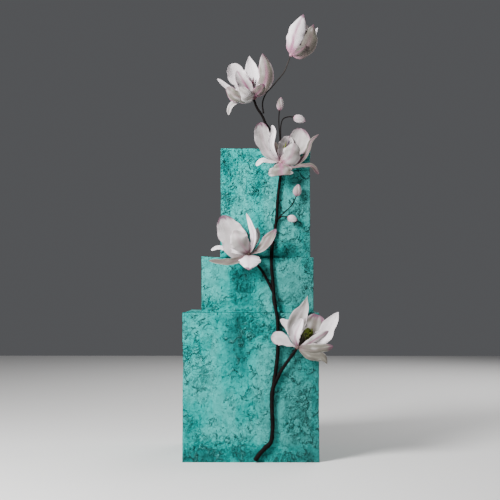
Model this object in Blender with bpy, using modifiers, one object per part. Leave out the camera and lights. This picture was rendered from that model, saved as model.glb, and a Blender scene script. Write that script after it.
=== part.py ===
"""Square wedding cake of three solid tiers with a branch of sugar magnolias up its front.

Lengths are in millimetres until the last step, which scales them to metres. +Z is up and the
cake's front faces -Y. The origin is at the centre of the bottom tier's underside.
"""

import math
from collections import namedtuple

import bmesh
import bpy
import numpy as np
from mathutils import Vector, noise

MM = 0.001
GAP = 0.3

Tier = namedtuple("Tier", "side height x y lifts")
Petal = namedtuple("Petal", "rib width peak blunt skew facing cup")
Flower = namedtuple("Flower", "base cup_radius petals")
Bud = namedtuple("Bud", "foot tip radius")
Stem = namedtuple("Stem", "route start_radius end_radius")

# Each tier: side, height, centre, and how far its left and right top corners stand proud
TIERS = {
    "tier_bottom": Tier(254.0, 275.0, 0.0, 0.0, (1.2, 0.0)),
    "tier_middle": Tier(210.0, 102.7, 12.5, -13.5, (1.8, 0.0)),
    "tier_top": Tier(168.8, 203.7, 27.2, -27.6, (1.4, 1.0)),
}
TIER_CUTS = 5
EDGE_ROUNDING = 1.6
LIFT_REACH = 18.0
HOLLOW_DEPTH = 1.1
HOLLOW_WAVE = 70.0
AT_FACE = 0.999

PETAL_THICKNESS = 1.2
PETAL_SEGMENTS = (4, 6)
RIB_SAMPLES = 65
PETAL_RUFFLE = 0.07
RUFFLE_WAVES = 1.7
RUFFLE_SIDES = 0.3
RUFFLE_STEP = 0.37
PETAL_CLAW = 0.15
CLAW_END = 0.1
CUP_OPENS = 0.25

# Each flower: base, receptacle radius, and petals. A petal's rib runs from the base through
# points given from it, then come its width, the place of its widest part, how blunt the tip is,
# the lean of its width to one side, the way its hollow side faces, and its half arc in degrees
FLOWERS = {
    "flower_top": Flower((75, -130, 754), 4.4, (
        Petal(((1, -9, 9), (4, -18, 24), (10, -20, 44), (23, -9, 74)),
              38, 0.47, 0.85, -0.02, (0.2, 1, -0.1), 50),
        Petal(((16, -8, 5), (31, -14, 16), (37, -13, 32), (42, -6, 56)),
              37, 0.42, 1.0, -0.04, (-0.2, 1, 0.2), 45),
        Petal(((19, 6, 9), (38, 11, 21), (44, 10, 36), (50, 5, 52)),
              18, 0.55, 0.6, 0, (-0.6, -0.6, 0.3), 45),
        Petal(((12, 9, 17), (23, 15, 35), (30, 15, 49), (30, 9, 58)),
              26, 0.52, 0.6, 0, (-0.1, -1, 0.3), 45),
        Petal(((1, 10, 17), (6, 19, 38), (13, 18, 57), (17, 9, 66)),
              28, 0.5, 0.8, 0, (0.3, -1, 0), 45),
        Petal(((11, -10, 2), (20, -17, 7), (27, -19, 14)),
              18, 0.5, 0.6, 0, (0, 1, 0.3), 45),
    )),
    "flower_upper": Flower((7, -130, 674), 5.2, (
        Petal(((-18, 8, 18), (-34, 14, 42), (-43, 12, 66)),
              39, 0.6, 0.4, 0, (0.3, -1, 0.1), 35),
        Petal(((-10, -2, 12), (-21, -5, 29), (-33, 0, 51)),
              30, 0.52, 0.8, -0.15, (0.3, -1, 0.3), 35),
        Petal(((-3, 10, 22), (-4, 17, 44), (-7, 18, 63), (-10, 14, 81)),
              33, 0.46, 0.9, -0.05, (0, -1, 0.1), 40),
        Petal(((16, 6, 19), (22, 8, 44), (20, 6, 61), (15, 2, 83)),
              30, 0.52, 0.8, -0.05, (-0.1, 1, 0.1), 40),
        Petal(((-27, 8, 9), (-51, 6, 21), (-69, 0, 35)),
              11, 0.68, 0.5, 0, (0.2, -1, 0.3), 40),
        Petal(((-16, -14, -4), (-36, -22, 0), (-51, -20, 16)),
              25, 0.6, 0.45, -0.05, (0.2, 1, 0.3), 40),
        Petal(((-8, -16, -2), (-17, -24, 3), (-27, -24, 15)),
              26, 0.5, 0.5, -0.12, (0.1, 1, 0.3), 35),
        Petal(((-16, -4, -5), (-33, -6, -9), (-44, -8, -19), (-48, -10, -34)),
              13, 0.5, 0.55, 0.1, (-0.3, -1, 0.4), 40),
        Petal(((5, -12, 5), (12, -18, 11), (17, -18, 22)),
              22, 0.55, 0.5, -0.1, (-0.2, 1, 0.3), 45),
        Petal(((7, 14, 19), (11, 19, 35), (9, 16, 50)),
              20, 0.6, 0.5, 0, (-0.1, -1, 0), 40),
        Petal(((-14, 16, 19), (-25, 24, 40), (-31, 22, 56)),
              22, 0.6, 0.5, 0, (0.3, -1, 0), 40),
    )),
    "flower_crown": Flower((56, -126, 554), 5.2, (
        Petal(((-19, 2, 15), (-33, 2, 39), (-39, -2, 74)),
              33, 0.6, 0.42, 0, (0.2, -1, 0.2), 30),
        Petal(((-10, -8, 10), (-18, -13, 26), (-17, -14, 43), (-14, -12, 56), (-17, -10, 68)),
              13, 0.62, 0.5, 0, (0.6, -0.8, 0.3), 50),
        Petal(((-5, 2, 15), (-13, 2, 39)),
              13, 0.6, 0.6, 0, (0.4, -0.8, 0.3), 30),
        Petal(((19, 6, 18), (33, 9, 40), (37, 4, 64)),
              42, 0.66, 0.42, 0.04, (-0.1, -1, 0.2), 40),
        Petal(((7, 6, 21), (11, 9, 35), (13, 7, 50)),
              31, 0.62, 0.4, 0, (0.1, -1, 0.2), 40),
        Petal(((14, -16, 4), (21, -25, 17), (24, -24, 33)),
              39, 0.52, 0.55, 0.05, (-0.1, 1, 0.2), 45),
        Petal(((28, -4, -2), (43, -8, 8), (51, -9, 23), (56, -10, 38), (70, -10, 51)),
              12, 0.5, 0.75, 0, (-0.4, -0.9, 0.2), 45),
        Petal(((20, -10, -10), (40, -14, -8), (57, -15, -9), (70, -12, -24)),
              9, 0.75, 0.5, 0, (-0.1, -1, 0.4), 35),
        Petal(((-21, -8, 0), (-35, -12, 2), (-46, -12, -8)),
              10, 0.72, 0.45, 0, (0.1, -1, 0.4), 35),
        Petal(((0, -14, -12), (1, -17, -26)),
              46, 0.82, 0.14, 0, (0, 1, -0.2), 25),
    )),
    "flower_left": Flower((-3, -134, 383), 5.0, (
        Petal(((-19, 4, 11), (-33, 7, 34), (-43, 7, 54), (-50, 6, 72)),
              54, 0.4, 0.56, 0.02, (0.1, -1, 0.2), 22),
        Petal(((-10, -12, 12), (-17, -22, 25), (-21, -22, 39)),
              35, 0.64, 0.32, 0, (0, 1, 0.3), 40),
        Petal(((7, -8, 16), (9, -11, 35), (3, -10, 55), (-5, -4, 76)),
              14, 0.48, 0.8, 0, (-0.5, -0.8, 0.2), 50),
        Petal(((11, 2, 20), (16, 3, 35), (15, 2, 50)),
              11, 0.6, 0.6, 0, (-0.3, -0.9, 0.2), 40),
        Petal(((17, -4, 7), (31, -8, 19), (50, -8, 46)),
              21, 0.62, 0.75, 0, (-0.2, -1, 0.3), 35),
        Petal(((-17, 0, 1), (-44, 0, 10), (-57, -2, 12), (-70, -4, 7)),
              9, 0.7, 0.45, 0, (0.1, -1, 0.4), 35),
        Petal(((-20, -8, -11), (-44, -12, -15), (-74, -12, -12)),
              13, 0.5, 0.6, 0, (0, -1, 0.3), 30),
        Petal(((0, -14, -13), (0, -18, -30)),
              43, 0.36, 0.9, -0.03, (0, 1, -0.2), 25),
    )),
    "flower_right": Flower((86, -142, 212), 4.9, (
        Petal(((-15, -2, 6), (-31, -4, 15), (-49, -6, 18)),
              27, 0.74, 0.6, 0, (0.1, -1, 0.3), 30),
        Petal(((-9, 4, 21), (-17, 6, 37), (-32, 4, 51)),
              19, 0.6, 0.6, 0.15, (0.2, -1, 0.2), 30),
        Petal(((-6, 5, 26), (0, 8, 51), (11, 8, 72), (19, 5, 95)),
              35, 0.44, 1.35, 0.05, (0.1, -1, 0), 35),
        Petal(((-5, -10, 21), (0, -15, 37), (8, -14, 53)),
              21, 0.58, 0.5, -0.05, (0.3, -0.9, 0.1), 55),
        Petal(((15, 4, 17), (29, 7, 37), (39, 6, 59)),
              43, 0.7, 0.36, 0.03, (-0.1, -1, 0.1), 30),
        Petal(((25, 0, 10), (48, -2, 22), (59, -6, 41), (74, -9, 65)),
              32, 0.55, 0.85, 0.05, (-0.2, -1, 0.2), 35),
        Petal(((18, -16, 7), (34, -26, 18), (55, -30, 31)),
              18, 0.6, 0.7, 0.1, (-0.1, 1, 0.3), 40),
        Petal(((20, -16, -4), (40, -25, -2), (63, -28, 3)),
              24, 0.45, 0.55, 0, (0, 1, 0.4), 40),
        Petal(((19, -12, -12), (35, -18, -16), (45, -20, -18), (53, -18, -29)),
              22, 0.5, 0.85, 0, (0, 1, 0.3), 40),
    )),
}
# The cone of stamens in the open flower: its foot and its top from the flower's base
STAMENS = {"flower_right": ((2, -3, 2), (21, -14, 31), 4.0, 12.5)}

BUDS = {
    "bud_high": Bud((53.5, -114, 652.5), (56.5, -115.5, 677), 6.3),
    "bud_beside": Bud((80, -116, 639.5), (102, -119, 632), 7.6),
    "bud_upper": Bud((84.5, -123, 491), (89, -125, 513), 7.6),
    "bud_lower": Bud((68.5, -122, 452), (86, -125, 446), 6.8),
}
BUD_SIDES = 10
BUD_RINGS = 7
BUD_TAPER = 0.35
BUD_FULLNESS = 1.12

# The branch: routes through hand-chosen points, with the radius at each end. The top stem is a
# wire of its own, laid against the main one, and the others are joined to it
STEMS = {
    "main": Stem(((8, -131.5, 5), (17, -132, 17), (26, -132, 27), (37, -132, 39), (40, -132, 65),
                  (39, -132, 93), (39, -132, 123), (43, -132, 149), (48, -132, 186),
                  (50, -132, 212), (50, -132, 240), (49, -131.5, 264), (46, -130.5, 282),
                  (43, -126.5, 302), (41, -123.4, 330), (38.6, -122.8, 356), (38.3, -121.4, 380),
                  (40, -117.4, 400), (44, -115.8, 424), (48, -115.6, 453), (50, -115.5, 486),
                  (54, -115.4, 521), (56, -115.4, 541), (52, -115.4, 569), (41, -117, 600),
                  (34, -119, 618), (28, -120, 627), (21, -123, 642), (12, -127, 655),
                  (7, -130, 667)), 4.4, 2.2),
    "left": Stem(((42, -124.5, 313), (32, -125, 332), (21, -125, 352), (9, -127, 367),
                  (0.5, -131, 378)), 2.6, 2.3),
    "right": Stem(((42, -131, 142), (57, -134, 170), (72, -136, 192), (82.6, -139.6, 207.4)),
                  3.4, 2.6),
    "crown": Stem(((55.5, -115.3, 541), (56, -118.2, 546.5), (56.2, -121.2, 550)), 2.0, 1.8),
    "top": Stem(((23.6, -124, 646), (22, -124.5, 665), (28, -126, 682), (38, -127, 693),
                 (49, -128, 706), (62, -129, 722), (69, -130, 739), (72.3, -130, 748.2)), 1.3, 1.1),
    "high": Stem(((55, -115.3, 552), (55.5, -115, 575), (54.5, -113.2, 597), (53, -112.5, 620),
                  (52.5, -113, 637), (53.4, -114, 651.6)), 1.2, 1.0),
    "beside": Stem(((55, -115.3, 556), (57, -115.2, 578), (56.3, -114, 597), (56, -113.2, 622),
                    (60, -114, 636), (70, -115, 640.5), (79, -116, 639.8)), 1.2, 1.0),
    "upper": Stem(((48, -115.3, 445), (53, -117, 452), (62, -119, 461), (75, -121, 473),
                   (84.2, -122.9, 490.2)), 1.2, 1.0),
    "lower": Stem(((48.5, -115.4, 448), (60, -119, 454), (67.5, -121.8, 452.3)), 1.1, 1.0),
}
# Knots on the main stem: share of its length, added girth
KNOTS = ((0.045, 0.25), (0.19, 0.22), (0.44, 0.28), (0.575, 0.16))
KNOT_REACH = 0.012
# Points along a stem are this many diameters apart, but never nearer than the least spacing
STEM_SPACING = 2.3
LEAST_SPACING = 9.0
CURVE_STEPS = 12
WELD_DISTANCE = 0.00001

ICING_COLOUR = (0.16, 0.47, 0.42, 1.0)
PETAL_COLOUR = (0.82, 0.76, 0.77, 1.0)
BUD_COLOUR = (0.80, 0.72, 0.74, 1.0)
BARK_COLOUR = (0.030, 0.018, 0.014, 1.0)


def clear_scene():
    for obj in list(bpy.data.objects):
        bpy.data.objects.remove(obj)


def make_collection(name):
    collection = bpy.data.collections.new(name)
    bpy.context.scene.collection.children.link(collection)
    return collection


def give_material(obj, colour, roughness):
    material = bpy.data.materials.new(obj.name)
    material.use_nodes = True
    shader = material.node_tree.nodes["Principled BSDF"]
    shader.inputs["Base Color"].default_value = colour
    shader.inputs["Roughness"].default_value = roughness
    obj.data.materials.clear()
    obj.data.materials.append(material)


def object_from_bmesh(bm, name, collection):
    mesh = bpy.data.meshes.new(name)
    bm.to_mesh(mesh)
    bm.free()
    obj = bpy.data.objects.new(name, mesh)
    collection.objects.link(obj)
    return obj


def frozen_copy(obj, name, collection):
    """The object as its modifiers leave it, as a plain mesh; the original is removed."""
    bpy.context.view_layer.update()
    graph = bpy.context.evaluated_depsgraph_get()
    mesh = bpy.data.meshes.new_from_object(obj.evaluated_get(graph))
    copy = bpy.data.objects.new(name, mesh)
    copy.matrix_world = obj.matrix_world
    bpy.data.objects.remove(obj)
    collection.objects.link(copy)
    return copy


def islands(bm):
    """The faces of each connected shell."""
    waiting = set(bm.faces)
    while waiting:
        shell = [waiting.pop()]
        for face in shell:
            for edge in face.edges:
                for other in edge.link_faces:
                    if other in waiting:
                        waiting.remove(other)
                        shell.append(other)
        yield shell


def keep_outer_shell(obj):
    """Fills any hollow that joining sealed, and drops any loose scrap."""
    bm = bmesh.new()
    bm.from_mesh(obj.data)
    shells = sorted(islands(bm), key=len)
    for shell in shells[:-1]:
        bmesh.ops.delete(bm, geom=shell, context="FACES")
    bm.to_mesh(obj.data)
    bm.free()


def union(body, others):
    """Joins a collection's objects to the body and removes them.

    The solver is MANIFOLD, because EXACT leaves open edges where many thin petals cross.
    """
    join = body.modifiers.new("join", "BOOLEAN")
    join.operation = "UNION"
    join.operand_type = "COLLECTION"
    join.collection = others
    join.solver = "MANIFOLD"
    home = body.users_collection[0]
    name = body.name
    body.name = name + "_core"
    joined = frozen_copy(body, name, home)
    for obj in list(others.objects):
        bpy.data.objects.remove(obj)
    bpy.data.collections.remove(others)
    keep_outer_shell(joined)
    return joined


def smooth_route(points, count):
    """Points evenly spaced along a Catmull-Rom curve through the given ones."""
    points = np.asarray(points, float)
    ends = (2 * points[0] - points[1], 2 * points[-1] - points[-2])
    knots = np.vstack([ends[0], points, ends[1]])
    pieces = []
    for a, b, c, d in zip(knots, knots[1:], knots[2:], knots[3:]):
        t = np.linspace(0, 1, CURVE_STEPS)[:, None]
        cubic = 3 * b - a - 3 * c + d
        pieces.append(0.5 * (2 * b + (c - a) * t + (2 * a - 5 * b + 4 * c - d) * t**2 + cubic * t**3))
    curve = np.vstack(pieces)
    run = np.concatenate([[0], np.cumsum(np.linalg.norm(np.diff(curve, axis=0), axis=1))])
    even = np.linspace(0, run[-1], count)
    return np.stack([np.interp(even, run, curve[:, axis]) for axis in range(3)], axis=-1)


def add_tier(name, tier, foot, collection):
    """A crisp square tier whose sides are a little hollow and whose corners stand proud."""
    bm = bmesh.new()
    bmesh.ops.create_cube(bm, size=1.0)
    bmesh.ops.subdivide_edges(bm, edges=bm.edges[:], cuts=TIER_CUTS, use_grid_fill=True)
    half = tier.side / 2
    for vert in bm.verts:
        side_x, side_y, level = vert.co * 2
        height = foot + (level + 1) / 2 * tier.height
        place = Vector((tier.x + side_x * half, tier.y + side_y * half, height))
        hollow = HOLLOW_DEPTH * (0.5 + 0.5 * noise.noise(place / HOLLOW_WAVE))
        hollow *= 1 - abs(level) ** 4
        if abs(side_x) > AT_FACE:
            place.x -= math.copysign(hollow, side_x)
        if abs(side_y) > AT_FACE:
            place.y -= math.copysign(hollow, side_y)
        if level > AT_FACE:
            reach = math.hypot(half * (1 - abs(side_x)), half * (1 - abs(side_y)))
            lift = tier.lifts[0] if side_x < 0 else tier.lifts[1]
            place.z += lift * math.exp(-((reach / LIFT_REACH) ** 2))
        vert.co = place * MM
    obj = object_from_bmesh(bm, name, collection)
    bevel = obj.modifiers.new("edges", "BEVEL")
    bevel.width = EDGE_ROUNDING * MM
    bevel.segments = 2
    bevel.limit_method = "ANGLE"
    bevel.angle_limit = math.radians(60)
    give_material(obj, ICING_COLOUR, 0.6)


def petal_points(petal, along, across, phase):
    """Places on a petal for shares along its rib (0 to 1) and across it (-1 to 1)."""
    rib = smooth_route(((0, 0, 0), *petal.rib), RIB_SAMPLES)
    tangents = np.gradient(rib, axis=0)
    tangents /= np.linalg.norm(tangents, axis=1)[:, None]
    facing = np.asarray(petal.facing, float)
    hollow_side = facing - tangents * (tangents @ facing)[:, None]
    hollow_side /= np.linalg.norm(hollow_side, axis=1)[:, None]
    sideways = np.cross(tangents, hollow_side) * (1 if facing[1] <= 0 else -1)

    def read(rows):
        steps = along * (RIB_SAMPLES - 1)
        return np.stack([np.interp(steps, range(RIB_SAMPLES), rows[:, axis]) for axis in range(3)], -1)

    growth = petal.blunt * petal.peak / (1 - petal.peak)
    outline = (along / petal.peak) ** growth * ((1 - along) / (1 - petal.peak)) ** petal.blunt
    outline = np.maximum(outline, PETAL_CLAW * np.clip((1 - along) / CLAW_END, 0.1, 1))
    half = petal.width / 2 * outline * (1 + petal.skew * across)
    arc = math.radians(petal.cup) * np.clip(along / CUP_OPENS, 0.4, 1)
    out = half / arc * np.sin(across * arc)
    sink = half / arc * (1 - np.cos(across * arc))
    turns = RUFFLE_WAVES * along + phase + RUFFLE_SIDES * np.sign(across)
    wave = np.sin(2 * math.pi * turns)
    sink = sink + PETAL_RUFFLE * half * across**2 * wave
    return read(rib) + read(sideways) * out[:, None] + read(hollow_side) * sink[:, None]


def add_petal(name, base, petal, phase, collection):
    bm = bmesh.new()
    bmesh.ops.create_grid(bm, x_segments=PETAL_SEGMENTS[0], y_segments=PETAL_SEGMENTS[1], size=1.0)
    flat = np.array([vert.co[:2] for vert in bm.verts])
    places = np.array(base) + petal_points(petal, (flat[:, 1] + 1) / 2, flat[:, 0], phase)
    for vert, place in zip(bm.verts, places):
        vert.co = Vector(place) * MM
    bmesh.ops.triangulate(bm, faces=bm.faces[:])
    sheet = object_from_bmesh(bm, name + "_sheet", collection)
    solidify = sheet.modifiers.new("thickness", "SOLIDIFY")
    solidify.thickness = PETAL_THICKNESS * MM
    solidify.offset = 0
    return frozen_copy(sheet, name, collection)


def add_ball(name, centre, radius, collection):
    bm = bmesh.new()
    bmesh.ops.create_uvsphere(bm, u_segments=8, v_segments=6, radius=radius * MM)
    bmesh.ops.translate(bm, verts=bm.verts[:], vec=Vector(centre) * MM)
    return object_from_bmesh(bm, name, collection)


def add_cone(name, foot, top, foot_radius, top_radius, collection):
    """A domed cone between two places."""
    axis = top - foot
    bm = bmesh.new()
    bmesh.ops.create_uvsphere(bm, u_segments=12, v_segments=8, radius=1.0)
    turn = axis.to_track_quat("Z", "Y")
    for vert in bm.verts:
        share = (vert.co.z + 1) / 2
        girth = foot_radius + (top_radius - foot_radius) * share
        place = Vector((vert.co.x * girth, vert.co.y * girth, share * axis.length))
        vert.co = (foot + turn @ place) * MM
    return object_from_bmesh(bm, name, collection)


def add_flower(name, flower, collection):
    """Petals and a receptacle, joined into one sugar flower."""
    petals = make_collection(name + "_petals")
    for number, petal in enumerate(flower.petals):
        add_petal(f"{name}_petal_{number}", flower.base, petal, number * RUFFLE_STEP, petals)
    if name in STAMENS:
        foot, top, foot_radius, top_radius = STAMENS[name]
        base = Vector(flower.base)
        ends = (base + Vector(foot), base + Vector(top))
        add_cone(name + "_stamens", *ends, foot_radius, top_radius, petals)
    receptacle = add_ball(name, flower.base, flower.cup_radius, collection)
    give_material(union(receptacle, petals), PETAL_COLOUR, 0.55)


def add_bud(name, bud, collection):
    """A pointed bud on its twig's end."""
    foot, tip = Vector(bud.foot), Vector(bud.tip)
    axis = tip - foot
    turn = axis.to_track_quat("Z", "Y")
    bm = bmesh.new()
    bmesh.ops.create_uvsphere(bm, u_segments=BUD_SIDES, v_segments=BUD_RINGS, radius=1.0)
    for vert in bm.verts:
        share = (vert.co.z + 1) / 2
        girth = bud.radius * BUD_FULLNESS * (1 - BUD_TAPER * share**2)
        place = Vector((vert.co.x * girth, vert.co.y * girth, share * axis.length))
        vert.co = (foot + turn @ place) * MM
    obj = object_from_bmesh(bm, name, collection)
    give_material(obj, BUD_COLOUR, 0.5)


def add_stem(name, stem, knots, collection):
    """A tapering, knotted tube along a route, as a welded mesh."""
    points = np.asarray(stem.route, float)
    length = np.linalg.norm(np.diff(points, axis=0), axis=1).sum()
    spacing = max(LEAST_SPACING, STEM_SPACING * 2 * stem.start_radius)
    count = max(4, int(length / spacing) + 1)
    places = smooth_route(points, count)
    curve = bpy.data.curves.new(name, "CURVE")
    curve.dimensions = "3D"
    curve.bevel_depth = stem.start_radius * MM
    curve.bevel_resolution = 2
    curve.use_fill_caps = True
    spline = curve.splines.new("POLY")
    spline.points.add(count - 1)
    for number, (point, place) in enumerate(zip(spline.points, places)):
        share = number / (count - 1)
        girth = 1 + (stem.end_radius / stem.start_radius - 1) * share
        for knot, swell in knots:
            girth += swell * math.exp(-(((share - knot) / KNOT_REACH) ** 2))
        point.co = (*(place * MM), 1)
        point.radius = girth
    tube = bpy.data.objects.new(name + "_curve", curve)
    collection.objects.link(tube)
    welded = frozen_copy(tube, name, collection)
    welded.data.name = name
    bm = bmesh.new()
    bm.from_mesh(welded.data)
    bmesh.ops.remove_doubles(bm, verts=bm.verts[:], dist=WELD_DISTANCE)
    bm.to_mesh(welded.data)
    bm.free()
    return welded


def add_branch(collection):
    """The main stem, the side stems and the bud twigs, joined into one branch."""
    side_stems = make_collection("side_stems")
    for name, stem in STEMS.items():
        if name not in ("main", "top"):
            add_stem("stem_" + name, stem, (), side_stems)
    main_stem = add_stem("branch", STEMS["main"], KNOTS, collection)
    give_material(union(main_stem, side_stems), BARK_COLOUR, 0.8)
    give_material(add_stem("stem_top", STEMS["top"], (), collection), BARK_COLOUR, 0.8)


def main():
    clear_scene()
    cake = make_collection("wedding_cake")
    foot = 0.0
    for name, tier in TIERS.items():
        add_tier(name, tier, foot, cake)
        foot += tier.height + GAP
    add_branch(cake)
    for name, flower in FLOWERS.items():
        add_flower(name, flower, cake)
    for name, bud in BUDS.items():
        add_bud(name, bud, cake)


main()
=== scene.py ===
"""Looks of the wedding cake: crackled teal icing, sugar magnolias, bark and buds.

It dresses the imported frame. Values in millimetres repeat the construction's own, and each piece
is scaled to metres when its mesh is made. +Z is up and the cake's front faces -Y.
"""

import math
from collections import namedtuple

import bpy
import numpy as np
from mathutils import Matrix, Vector, noise


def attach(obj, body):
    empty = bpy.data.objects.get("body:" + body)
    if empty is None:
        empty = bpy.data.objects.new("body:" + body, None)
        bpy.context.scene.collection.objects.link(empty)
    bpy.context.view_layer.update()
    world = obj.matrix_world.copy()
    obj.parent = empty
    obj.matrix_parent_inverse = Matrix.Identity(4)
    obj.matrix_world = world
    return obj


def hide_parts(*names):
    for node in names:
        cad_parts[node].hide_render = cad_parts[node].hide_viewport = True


MM = 0.001

Tier = namedtuple("Tier", "side height x y lifts")
Petal = namedtuple("Petal", "rib width peak blunt skew facing cup dye")
Flower = namedtuple("Flower", "base cup_radius cup petals")
Bud = namedtuple("Bud", "foot tip radius grey")
Stem = namedtuple("Stem", "route start_radius end_radius")
Line = namedtuple("Line", "depth starts full")

# The construction's values
TIER_GAP = 0.3
TIERS = {
    "tier_bottom": Tier(254.0, 275.0, 0.0, 0.0, (1.2, 0.0)),
    "tier_middle": Tier(210.0, 102.7, 12.5, -13.5, (1.8, 0.0)),
    "tier_top": Tier(168.8, 203.7, 27.2, -27.6, (1.4, 1.0)),
}
LIFT_REACH = 18.0
HOLLOW_DEPTH = 1.1
HOLLOW_WAVE = 70.0
RIB_SAMPLES = 65
CURVE_STEPS = 12
PETAL_RUFFLE = 0.07
RUFFLE_WAVES = 1.7
RUFFLE_SIDES = 0.3
RUFFLE_STEP = 0.37
PETAL_CLAW = 0.15
CLAW_END = 0.1
CUP_OPENS = 0.25
BUD_TAPER = 0.35
BUD_FULLNESS = 1.12

# A cup is the receptacle's colour and how far along the petals it stains them. Each petal ends
# with its dye and painted shade: how pink its foot, midrib, tip and rim are, and how grey it is, which is
# partly the sugar's own grey and partly painted shade where the petal lies in shade
FLOWERS = {}
FLOWERS["flower_top"] = Flower((75, -130, 754), 4.4, ((0.40, 0.20, 0.26), 0.1), (
    Petal(((1, -9, 9), (4, -18, 24), (10, -20, 44), (23, -9, 74)),
        38, 0.47, 0.85, -0.02, (0.2, 1, -0.1), 50, (1.6, 1.2, 1.8, 0.35, 0.1)),
    Petal(((16, -8, 5), (30, -15, 16.5), (36, -15, 32.5), (42, -7, 56)),
        40, 0.42, 1.0, -0.04, (-0.1, 1, 0.2), 38, (0.6, 0.2, 0.7, 0.2, 1.6)),
    Petal(((19, 6, 9), (38, 11, 21), (44, 10, 36), (50, 5, 52)),
        18, 0.55, 0.6, 0, (-0.6, -0.6, 0.3), 45, (0.1, 0, 0, 0, 0)),
    Petal(((12, 9, 17), (23, 15, 35), (30, 15, 49), (30, 9, 58)),
        26, 0.52, 0.6, 0, (-0.1, -1, 0.3), 45, (0.1, 0.1, 0.2, 0.1, 0.9)),
    Petal(((1, 10, 17), (6, 19, 38), (13, 18, 57), (17, 9, 66)),
        28, 0.5, 0.8, 0, (0.3, -1, 0), 45, (0.2, 0.1, 0.2, 0.1, 0.8)),
    Petal(((11, -10, 2), (20, -17, 7), (27, -19, 14)),
        18, 0.5, 0.6, 0, (0, 1, 0.3), 45, (0.9, 0.5, 0.1, 0, 2.4)),
))
FLOWERS["flower_upper"] = Flower((7, -130, 674), 5.2, ((0.10, 0.04, 0.05), 0.1), (
    Petal(((-18, 8, 18), (-34, 14, 42), (-43, 12, 66)),
        39, 0.6, 0.4, 0, (0.3, -1, 0.1), 35, (0.2, 0.1, 0.1, 0.1, 0.1)),
    Petal(((-10, -2, 12), (-21, -5, 29), (-33, 0, 51)),
        30, 0.52, 0.8, -0.15, (0.3, -1, 0.3), 35, (0.7, 1.3, 0.2, 0.7, 0.5)),
    Petal(((-3, 10, 22), (-4, 17, 44), (-7, 18, 63), (-10, 14, 81)),
        33, 0.46, 0.9, -0.05, (0, -1, 0.1), 40, (0.3, 0.1, 0.2, 0, 0.05)),
    Petal(((16, 6, 19), (22, 8, 44), (20, 6, 61), (15, 2, 83)),
        30, 0.52, 0.8, -0.05, (-0.1, 1, 0.1), 40, (0.6, 1.0, 0.9, 0.7, 1.2)),
    Petal(((-27, 8, 9), (-51, 6, 21), (-69, 0, 35)),
        11, 0.68, 0.5, 0, (0.2, -1, 0.3), 40, (0.1, 0.1, 0.1, 0.1, 0)),
    Petal(((-16, -14, -4), (-36, -22, 0), (-51, -20, 16)),
        25, 0.6, 0.45, -0.05, (0.2, 1, 0.3), 40, (0.3, 0.3, 0.4, 1.2, 1.1)),
    Petal(((-8, -16, -2), (-17, -24, 3), (-27, -24, 15)),
        26, 0.5, 0.5, -0.12, (0.1, 1, 0.3), 35, (0.3, 0.1, 0.1, 0.1, 0.8)),
    Petal(((-16, -4, -5), (-33, -6, -9), (-44, -8, -19), (-48, -10, -34)),
        13, 0.5, 0.55, 0.1, (-0.3, -1, 0.4), 40, (0.1, 0.1, 0.1, 0, 0.8)),
    Petal(((5, -12, 5), (12, -18, 11), (17, -18, 22)),
        22, 0.55, 0.5, -0.1, (-0.2, 1, 0.3), 45, (1.0, 0.7, 0.9, 0.8, 2.2)),
    Petal(((7, 14, 19), (11, 19, 35), (9, 16, 50)),
        20, 0.6, 0.5, 0, (-0.1, -1, 0), 40, (0.3, 0.3, 0.3, 0.1, 0.5)),
    Petal(((-14, 16, 19), (-25, 24, 40), (-31, 22, 56)),
        22, 0.6, 0.5, 0, (0.3, -1, 0), 40, (0.3, 0.3, 0.3, 0.1, 0.5)),
))
FLOWERS["flower_crown"] = Flower((56, -126, 554), 5.2, ((0.30, 0.17, 0.18), 0.1), (
    Petal(((-19, 2, 15), (-33, 2, 39), (-39, -2, 74)),
        33, 0.6, 0.42, 0, (0.2, -1, 0.2), 30, (0.3, 0.3, 1.0, 0.15, 0.65)),
    Petal(((-10, -8, 10), (-18, -13, 26), (-17, -14, 43), (-14, -12, 56), (-17, -10, 68)),
        13, 0.62, 0.5, 0, (0.05, -1, 0.3), 50, (0.6, 0.3, 0.2, 0.2, 0)),
    Petal(((-5, 2, 15), (-13, 2, 39)),
        13, 0.6, 0.6, 0, (0.4, -0.8, 0.3), 30, (1.0, 0.3, 0.2, 0.1, 2.2)),
    Petal(((19, 6, 18), (33, 9, 40), (37, 4, 64)),
        42, 0.66, 0.42, 0.04, (-0.1, -1, 0.2), 40, (0.2, 0.2, 0.9, 0.7, 0.7)),
    Petal(((7, 6, 21), (11, 9, 35), (13, 7, 50)),
        31, 0.62, 0.4, 0, (0.1, -1, 0.2), 40, (1.2, 0.2, 0.2, 0.2, 0.6)),
    Petal(((14, -16, 4), (21, -25, 17), (24, -24, 33)),
        39, 0.52, 0.55, 0.05, (-0.1, 1, 0.2), 45, (0.5, 0.7, 0.1, 0.1, 0.75)),
    Petal(((28, -4, -2), (43, -8, 8), (51, -9, 23), (56, -10, 38), (70, -10, 51)),
        12, 0.5, 0.75, 0, (-0.4, -0.9, 0.2), 45, (0.4, 0.7, 0.3, 0.1, 1.9)),
    Petal(((20, -10, -10), (40, -14, -8), (57, -15, -9), (70, -12, -24)),
        9, 0.75, 0.5, 0, (-0.1, -1, 0.4), 35, (0.5, 0.6, 0.4, 0.2, 2.1)),
    Petal(((-21, -8, 0), (-35, -12, 2), (-46, -12, -8)),
        10, 0.72, 0.45, 0, (0.1, -1, 0.4), 35, (0.7, 0.2, 0.1, 0.1, 0)),
    Petal(((0, -14, -12), (1, -17, -26)),
        46, 0.82, 0.14, 0, (0, 1, -0.2), 25, (0.8, 1.2, 0.2, 0.1, 1.0)),
))
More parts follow.
